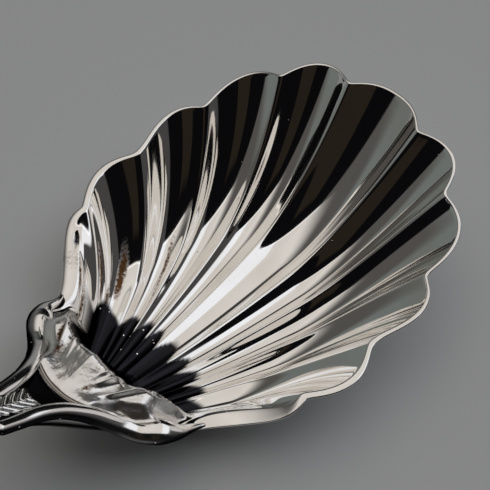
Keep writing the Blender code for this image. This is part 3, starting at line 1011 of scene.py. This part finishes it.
@dataclass
class ShellBowl:
    """The fluted bowl: a polished sheet whose lip is filed level."""

    form: ShellForm = field(default_factory=ShellForm)
    finish: Silver = Silver("polished_sterling_silver")
    lobe_columns: int = 38
    crest_crowding: float = 0.7
    row_crowding: float = 0.5
    inner_rows: int = 110
    lip_rows: int = 12
    outer_rows: int = 56
    heel_fade_start: float = 0.8
    heel_fade_end: float = 0.95
    wall_edge: float = 1.0
    # The black pool on the floor in front of the heel is a painted dark reflection.
    pool_margin: float = 0.8
    pool_edge: float = 0.8
    pool_length: float = 14.2
    pool_skew: float = 1.0
    pool_drop: float = 7.7
    pool_drop_power: float = 2.5
    pool_ripple: float = 2.4
    pool_ripple_level: float = 0.5
    pool_fade: float = 0.8
    pool_angle: float = 113.0
    pool_angle_fade: float = 6.0
    pit: Pit = Pit()
    blooms: tuple = (
        Bloom(97.0, 0.75, 2.2, 0.09),
        Bloom(98.5, 0.66, 2.0, 0.07),
        Bloom(103.5, 0.63, 1.8, 0.07),
        Bloom(76.0, 0.63, 1.8, 0.12),
        Bloom(74.0, 0.50, 1.6, 0.06, 0.7),
        Bloom(123.5, 0.92, 3.0, 0.10),
        Bloom(120.0, 0.66, 3.5, 0.14),
        Bloom(119.0, 0.28, 5.0, 0.10, 1.1),
        Bloom(112.0, 0.16, 8.0, 0.06, 0.9),
        Bloom(60.0, 0.03, 45.0, 0.02, 0.75),
        Bloom(-95.0, 0.08, 14.0, 0.05, 0.8),
        Bloom(-2.0, 0.86, 1.6, 0.03, 0.5),
    )

    def angles(self) -> Array:
        """Return the ray angles, closer together at the crests.

        Returns:
            Angles from one ear round the tip to the other.
        """
        side = (*self.form.notch_angles, self.form.ear_angle)
        edges = np.array((*(-angle for angle in reversed(side)), *side))
        share = np.linspace(0.0, 1.0, self.lobe_columns, endpoint=False)
        share = mix(share, ease(0.0, 1.0, share), self.crest_crowding)
        columns = [mix(start, end, share) for start, end in zip(edges, edges[1:])]
        return np.concatenate((*columns, edges[-1:]))

    def rows(self, count: int) -> Array:
        """Return how far along their rays the rows of points lie, closer together at heel and rim."""
        share = np.linspace(0.0, 1.0, count + 1)
        return mix(share, ease(0.0, 1.0, share), self.row_crowding)[None, :]

    def marks(self, rings: Array, angle: Array, reach: Array) -> dict[Mark, Array]:
        """Return the marks for the finish: brown blooms, the worn heel, and the black pool in front of it, a
        painted dark reflection.

        Args:
            rings: The bowl's points.
            angle: The ray angle of each point.
            reach: How far along its ray each point lies.

        Returns:
            Values by mark, for each point.
        """
        across = rings[..., 1]
        ahead = self.form.ahead(rings[..., 0], across)
        # Painted dark reflection: the floor in front of the heel's shelf is painted black, up to a rippled
        # edge.
        wall_start, wall_foot = self.form.shelf_front(across)
        shelf_end = wall_start + self.pool_margin
        on_heel = 1.0 - ease(shelf_end - self.pool_edge, shelf_end, ahead)
        on_wall = 1.0 - ease(wall_foot - self.wall_edge, wall_foot, ahead)
        aside = np.clip(across / self.form.heel_end[1], -1.0, 1.0)
        pool_end = self.pool_length + self.pool_skew * aside
        pool_end = pool_end - self.pool_drop * np.abs(aside) ** self.pool_drop_power
        pool_end = pool_end + self.pool_ripple * (self.form.flute(angle) - self.pool_ripple_level)
        on_floor = 1.0 - ease(0.0, self.pool_fade, ahead - pool_end)
        pool = (1.0 - on_heel) * np.maximum(on_wall, on_floor)
        pool = pool * (1.0 - ease(self.pool_angle, self.pool_angle + self.pool_angle_fade, np.abs(angle)))
        worn = on_heel * (1.0 - ease(self.heel_fade_start, self.heel_fade_end, reach))
        tarnish = sum(bloom.share(angle, reach) for bloom in self.blooms)
        return {Mark.TARNISH: tarnish, Mark.HEEL: worn, Mark.OXIDE_AND_SHADE: pool}

    def build(self) -> bpy.types.Mesh:
        """Make the bowl's mesh: each ring runs up the inner face, over the lip and down the outer face.

        Returns:
            The mesh with its marks, flat underneath where it lies on the table.
        """
        angle = self.angles()[:, None]
        inner_reach = self.rows(self.inner_rows)
        lip_share = (np.arange(1, self.lip_rows) / self.lip_rows)[None, :]
        outer_reach = self.rows(self.outer_rows)[:, ::-1]
        rings = np.concatenate((
            self.form.inner(angle, inner_reach),
            self.form.lip(angle, lip_share),
            self.form.outer(angle, outer_reach)), axis=1)
        reach = np.concatenate((inner_reach, np.ones_like(lip_share), outer_reach), axis=1)
        angle, reach = np.broadcast_arrays(angle, reach)
        marks = self.marks(rings, angle, reach)
        # The pit's hollow is painted black, a painted dark reflection, through the oxide mark.
        hollow = self.pit.share(rings)
        hollow[:, -outer_reach.shape[1]:] = 0.0
        marks[Mark.OXIDE_AND_SHADE] = np.maximum(marks[Mark.OXIDE_AND_SHADE], hollow)
        rings[..., 2] -= self.pit.depth * hollow
        rings = REST.place(rings)
        rings[..., 2] = np.maximum(rings[..., 2], 0.0)
        return skin_rings(rings, marks, "fluted_bowl")

    def dress(self) -> bpy.types.Object:
        """Make the bowl and set it in the frame.

        Returns:
            The piece.
        """
        piece = show(self.build(), self.finish.build())
        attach(piece, "root")
        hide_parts(Part.BOWL.value)
        return piece


@dataclass
class Stem:
    """The struck stem: yoke, arch, terminal and tongue in one piece."""

    shell: ShellForm = field(default_factory=ShellForm)
    form: StemForm = field(default_factory=StemForm)
    finish: Silver = Silver(
        "struck_sterling_silver", roughness=0.08, worn_roughness=0.16, oxide_and_shade_roughness=0.4)
    sharp: float = math.radians(50.0)

    def build(self) -> bpy.types.Mesh:
        """Make the stem's mesh, flat under the terminal where it lies on the table.

        Returns:
            The mesh, with its marks: oxide in the sunk field, and painted shade on the sides near the yoke.
        """
        stem, oxide_and_shade = self.form.stem_rings()
        tongue = self.form.tongue(self.shell)
        rings = REST.place(np.concatenate((stem, tongue)))
        rings[..., 2] = np.maximum(rings[..., 2], 0.0)
        oxide_and_shade = np.concatenate((oxide_and_shade, np.zeros(tongue.shape[:2])))
        marks = plain_marks(rings) | {Mark.OXIDE_AND_SHADE: oxide_and_shade}
        mesh = skin_rings(rings, marks, "struck_stem")
        mesh.set_sharp_from_angle(angle=self.sharp)
        return mesh

    def dress(self) -> bpy.types.Object:
        """Make the stem and set it in the frame.

        Returns:
            The piece.
        """
        piece = show(self.build(), self.finish.build())
        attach(piece, "root")
        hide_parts(Part.STEM.value)
        return piece


def tube_rings(line: Array, radius: Array, around: int, height_share: float = 1.0) -> Array:
    """Return rings of a round or flattened tube.

    Args:
        line: The tube's middle line.
        radius: The radius at each point of the line.
        around: How many points each ring has.
        height_share: The tube's height as a share of its width.

    Returns:
        Points by ring and by place round the ring.
    """
    run = unit(np.gradient(line, axis=0))
    out = unit(np.cross(run, UP))
    up = np.cross(out, run)
    turn = np.linspace(0.0, 2.0 * math.pi, around, endpoint=False)[None, :, None]
    ring = np.cos(turn) * out[:, None, :] + height_share * np.sin(turn) * up[:, None, :]
    return line[:, None, :] + ring * radius[:, None, None]


def round_end(along: Array, cap: float) -> Array:
    """Return the share of a tube's radius that rounds its start off over the cap's length."""
    short = np.clip(1.0 - along / cap, 0.0, CAP_LIMIT)
    return np.sqrt(1.0 - short ** 2)


def smoothed(values: Array, rounds: int) -> Array:
    """Return values evened out along their first axis, with both ends kept.

    Args:
        values: Numbers or points in a row.
        rounds: How many times each one moves half way to the mean of its neighbours.

    Returns:
        The evened values.
    """
    even = values.copy()
    for _ in range(rounds):
        neighbours = 0.5 * (even[:-2] + even[2:])
        even[1:-1] = 0.5 * (even[1:-1] + neighbours)
    return even


@dataclass
class YokeJoint:
    """The joint at the heel: a rib along each flared side of the yoke, its lower side and outer flank painted
    black as painted shade, and the solder.
    """

    shell: ShellForm = field(default_factory=ShellForm)
    rib_line: tuple = (
        (-32.7, 10.0, 1.9), (-34.2, 8.5, 1.6), (-35.4, 6.8, 2.8), (-37.3, 4.5, 5.5), (-39.2, 3.1, 7.5),
        (-41.0, 2.4, 8.9), (-43.0, 2.1, 10.0), (-46.0, 1.9, 12.4))
    rib_stations: int = 90
    rib_rings: int = 180
    rib_around: int = 28
    rib_radius_rim: float = 0.2
    rib_radius_neck: float = 0.8
    rib_radius_ear: float = 1.7
    rib_radius_stem: float = 0.9
    rib_taper: float = 2.6
    rib_sink: float = 0.3
    rib_rim_angle: float = 130.0
    rib_rim_share: float = 0.7
    rib_smoothing: int = 60
    rib_height_share: float = 0.7
    # Painted shade: the rib is painted black below these heights, and on its outer flank from these shares.
    rib_shade_full_below: float = -0.1
    rib_shade_clear_above: float = 0.3
    rib_shade_flank_far: float = 0.25
    rib_shade_flank_near: float = 0.45
    rib_shade_flank_fade: float = 0.3
    bead_middle: tuple = (-37.9, 5.5)
    bead_half_span: float = 9.0
    bead_sweep: float = 4.5
    bead_droop: float = 3.9
    bead_radius: float = 0.3
    bead_stations: int = 101
    bead_around: int = 16
    rib_finish: Silver = Silver("yoke_sterling_silver", roughness=0.14)
    bead_finish: Silver = Silver(
        "filed_silver_solder", bright="A8A29B", film="7A7066", roughness=0.25, worn_roughness=0.4)

    def rib(self, side: int, name: str) -> bpy.types.Mesh:
        """Make the rib on one side of the yoke, from the ear back on to the stem.

        Args:
            side: 1 for the +Y side, -1 for the -Y side.
            name: The mesh's name.

        Returns:
            The rib's mesh, with its painted shade: its lower side and outer flank painted black.
        """
        rim_angle = np.linspace(self.rib_rim_angle, self.shell.ear_angle, self.rib_stations)
        on_rim = self.shell.lip(rim_angle, np.full_like(rim_angle, self.rib_rim_share))
        edge = np.array(self.rib_line)
        behind = edge[0, 0] - edge[:, 0]
        thick = mix(self.rib_radius_stem, self.rib_radius_ear, np.exp(-behind / self.rib_taper))
        edge[:, 2] -= self.rib_sink * thick
        rim_radius = np.linspace(self.rib_radius_rim, self.rib_radius_neck, self.rib_stations)
        line = np.concatenate((on_rim, edge))
        radius = np.concatenate((rim_radius, thick))
        along = np.concatenate(((0.0,), np.cumsum(np.linalg.norm(np.diff(line, axis=0), axis=-1))))
        even = np.linspace(0.0, along[-1], self.rib_rings)
        line = np.stack([np.interp(even, along, column) for column in line.T], axis=-1)
        line = smoothed(line, self.rib_smoothing)
        radius = smoothed(np.interp(even, along, radius), self.rib_smoothing)
        radius = radius * round_end(even, self.rib_radius_rim)
        radius = radius * round_end(even[-1] - even, self.rib_radius_stem)
        line[:, 1] *= side
        rings = tube_rings(line, radius, self.rib_around, self.rib_height_share)
        marks = plain_marks(rings)
        # Painted shade: the lower side and the outer flank are painted black through the oxide mark, and the
        # top stays bright.
        raised = (rings[..., 2] - line[:, None, 2]) / radius[:, None]
        outward = side * (rings[..., 1] - line[:, None, 1]) / radius[:, None]
        shade_flank_start = self.rib_shade_flank_far if side > 0 else self.rib_shade_flank_near
        painted_flank_shade = ease(shade_flank_start, shade_flank_start + self.rib_shade_flank_fade, outward)
        marks[Mark.OXIDE_AND_SHADE] = np.maximum(1.0 - ease(self.rib_shade_full_below, self.rib_shade_clear_above, raised), painted_flank_shade)
        return skin_rings(REST.place(rings), marks, name)

    def bead(self) -> bpy.types.Mesh:
        """Make the solder bead along the heel edge, from ear to ear.

        Returns:
            The bead's mesh.
        """
        share = np.sin(np.linspace(-0.5, 0.5, self.bead_stations) * math.pi)
        x = self.bead_middle[0] + self.bead_sweep * share ** 2
        z = self.bead_middle[1] - self.bead_droop * HUMP.fall(share)
        line = np.stack((x, self.bead_half_span * share, z), axis=-1)
        from_end = (1.0 - np.abs(share)) * self.bead_half_span
        rings = tube_rings(line, self.bead_radius * round_end(from_end, self.bead_radius), self.bead_around)
        return skin_rings(REST.place(rings), plain_marks(rings), "solder_bead")

    def dress(self) -> list[bpy.types.Object]:
        """Make ribs and bead and set them in the frame.

        Returns:
            The three pieces.
        """
        silver = self.rib_finish.build()
        ribs = []
        for side, name in ((1, "yoke_rib_far"), (-1, "yoke_rib_near")):
            rib = show(self.rib(side, name), silver)
            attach(rib, "root")
            ribs.append(rib)
        bead = show(self.bead(), self.bead_finish.build())
        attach(bead, "root")
        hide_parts(Part.SEAM.value)
        return [*ribs, bead]


def edge_share(tree: bpy.types.NodeTree, direction: bpy.types.NodeSocket, normal: tuple, offset: float,
               soft: float) -> bpy.types.NodeSocket:
    """Return the share of light on one side of a plane through the spoon.

    Args:
        tree: The world's node tree.
        direction: The direction looked along.
        normal: The plane's normal, on the lit side.
        offset: How far along the normal the light begins.
        soft: Half the width of the fade.

    Returns:
        A socket that goes from 0 on the dark side to 1 on the lit side.
    """
    depth = add_node(tree, "VectorMath", {"operation": "DOT_PRODUCT"}, {
        0: direction, 1: normal}).outputs["Value"]
    return add_node(tree, "MapRange", {"interpolation_type": "SMOOTHSTEP"}, {
        "Value": depth, "From Min": offset - soft, "From Max": offset + soft}).outputs[0]


@dataclass(frozen=True)
class RoofPanel:
    """A lit part of the tent's roof, a level rectangle seen from the spoon.

    Its sides are slopes from the zenith, counted to the right of the camera and away from it.
    """

    name: str
    colour: str
    radiance: float
    left: float
    right: float
    front: float
    back: float
    left_soft: float = 0.02
    right_soft: float = 0.02
    front_soft: float = 0.02
    back_soft: float = 0.03
    facing: float = math.radians(42.0)

    def edges(self) -> list[tuple]:
        """Return the panel's sides.

        Returns:
            Each side's plane normal, offset and softness.
        """
        away = (math.cos(self.facing), math.sin(self.facing))
        aside = (away[1], -away[0])
        return [
            ((aside[0], aside[1], -self.left), 0.0, self.left_soft),
            ((-aside[0], -aside[1], self.right), 0.0, self.right_soft),
            ((away[0], away[1], -self.front), 0.0, self.front_soft),
            ((-away[0], -away[1], self.back), 0.0, self.back_soft),
        ]


@dataclass(frozen=True)
class WallPanel:
    """A standing part of the tent between two bearings and two heights, all in degrees."""

    name: str
    colour: str
    radiance: float
    start: float
    end: float
    low: float
    high: float
    start_soft: float = 1.2
    end_soft: float = 1.2
    low_soft: float = 2.0
    high_soft: float = 2.0

    def edges(self) -> list[tuple]:
        """Return the panel's sides.

        Returns:
            Each side's plane normal, offset and softness.
        """
        start, end, low, high, start_soft, end_soft, low_soft, high_soft = (math.radians(angle) for angle in (
            self.start, self.end, self.low, self.high,
            self.start_soft, self.end_soft, self.low_soft, self.high_soft))
        return [
            ((-math.sin(start), math.cos(start), 0.0), 0.0, math.sin(start_soft)),
            ((math.sin(end), -math.cos(end), 0.0), 0.0, math.sin(end_soft)),
            ((0.0, 0.0, 1.0), math.sin(low), math.sin(low_soft)),
            ((0.0, 0.0, -1.0), -math.sin(high), math.sin(high_soft)),
        ]


@dataclass(frozen=True)
class LightTent:
    """A light tent round the spoon: lit roof, grey walls, a window on the right, a dark opening in front."""

    room: str = "0A0A0C"
    panels: tuple = (
        RoofPanel("warm_roof", "FFFAF4", 0.68, -0.62, 0.42, -0.30, 1.15, left_soft=0.30),
        RoofPanel("cool_roof", "F6F9FF", 0.95, 0.42, 1.20, -0.30, 1.15, right_soft=0.08),
        RoofPanel("front_strip", "FFFFFF", 0.35, -0.62, 0.95, -0.31, -0.265, front_soft=0.01, back_soft=0.01),
        WallPanel("left_sweep", "F4FFFA", 0.17, 60.0, 159.0, -5.0, 22.0, start_soft=20.0, high_soft=5.0),
        WallPanel("left_wall", "FFFAF5", 0.085, 60.0, 159.0, 22.0, 75.0,
                  start_soft=20.0, low_soft=5.0, high_soft=9.0),
        WallPanel("right_wall", "FFFAFA", 0.057, 294.0, 348.0, -5.0, 75.0, end_soft=6.0),
        WallPanel("right_window", "FFFAFA", 0.50, 328.0, 359.0, 8.0, 34.0),
        WallPanel("warm_wall", "FFDDB0", 0.016, 203.0, 246.0, 12.0, 55.0),
    )

    def build(self) -> None:
        """Make the tent the scene's world."""
        world = bpy.data.worlds.new("light_tent")
        world.use_nodes = True
        tree = world.node_tree
        tree.nodes.clear()
        direction = add_node(tree, "TexCoord").outputs["Generated"]
        glow: Any = linear(self.room)[:3]
        for panel in self.panels:
            share: Any = 1.0
            for normal, offset, soft in panel.edges():
                side = edge_share(tree, direction, normal, offset, soft)
                share = add_node(tree, "Math", {"operation": "MULTIPLY"}, {0: side, 1: share}).outputs[0]
            tone = [channel * panel.radiance for channel in linear(panel.colour)[:3]]
            glow = add_node(tree, "VectorMath", {"operation": "MULTIPLY_ADD", "label": panel.name}, {
                0: share, 1: tone, 2: glow}).outputs[0]
        background = add_node(tree, "Background", None, {"Color": glow})
        add_node(tree, "OutputWorld", None, {"Surface": background.outputs[0]})
        bpy.context.scene.world = world


@dataclass
class Studio:
    """Paper floor, light tent and camera."""

    paper: Seamless = Seamless()
    floor_half: float = 6.0
    tent: LightTent = LightTent()
    camera_place: tuple = (-13.875, -55.510, 125.526)
    camera_aim: tuple = (49.010, 1.267, 8.0)
    camera_roll: float = math.radians(2.752)
    focal_pixels: float = 1200.0
    lens_near: float = 0.01

    def lay_floor(self) -> None:
        """Lay the paper floor under the spoon."""
        sheet = bmesh.new()
        bmesh.ops.create_grid(sheet, x_segments=1, y_segments=1, size=self.floor_half)
        mesh = bpy.data.meshes.new("paper_floor")
        sheet.to_mesh(mesh)
        sheet.free()
        floor = show(mesh, self.paper.build())

    def place_camera(self) -> None:
        """Put the camera where the photograph was taken from."""
        lens = bpy.data.cameras.new("photo_camera")
        lens.sensor_width = SENSOR_WIDTH
        lens.lens = self.focal_pixels / PHOTO_SIDE * SENSOR_WIDTH
        lens.clip_start = self.lens_near
        camera = bpy.data.objects.new("photo_camera", lens)
        place, aim = Vector(self.camera_place) * MM, Vector(self.camera_aim) * MM
        look = (aim - place).to_track_quat("-Z", "Y").to_matrix().to_4x4()
        camera.matrix_world = Matrix.Translation(place) @ look @ Matrix.Rotation(self.camera_roll, 4, "Z")
        bpy.context.scene.collection.objects.link(camera)
        bpy.context.scene.camera = camera

    def build(self) -> None:
        """Set up the whole studio."""
        self.lay_floor()
        self.tent.build()
        self.place_camera()
        bpy.context.scene.view_settings.view_transform = "Standard"


def main() -> None:
    """Build every piece of the spoon, then the studio."""
    logging.basicConfig(level=logging.INFO, format="%(name)s: %(message)s")
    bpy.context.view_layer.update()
    pieces = [ShellBowl().dress(), Stem().dress(), *YokeJoint().dress()]
    for piece in pieces:
        LOG.info("%s: %d faces", piece.name, len(piece.data.polygons))
    Studio().build()


if __name__ == "__main__":
    main()
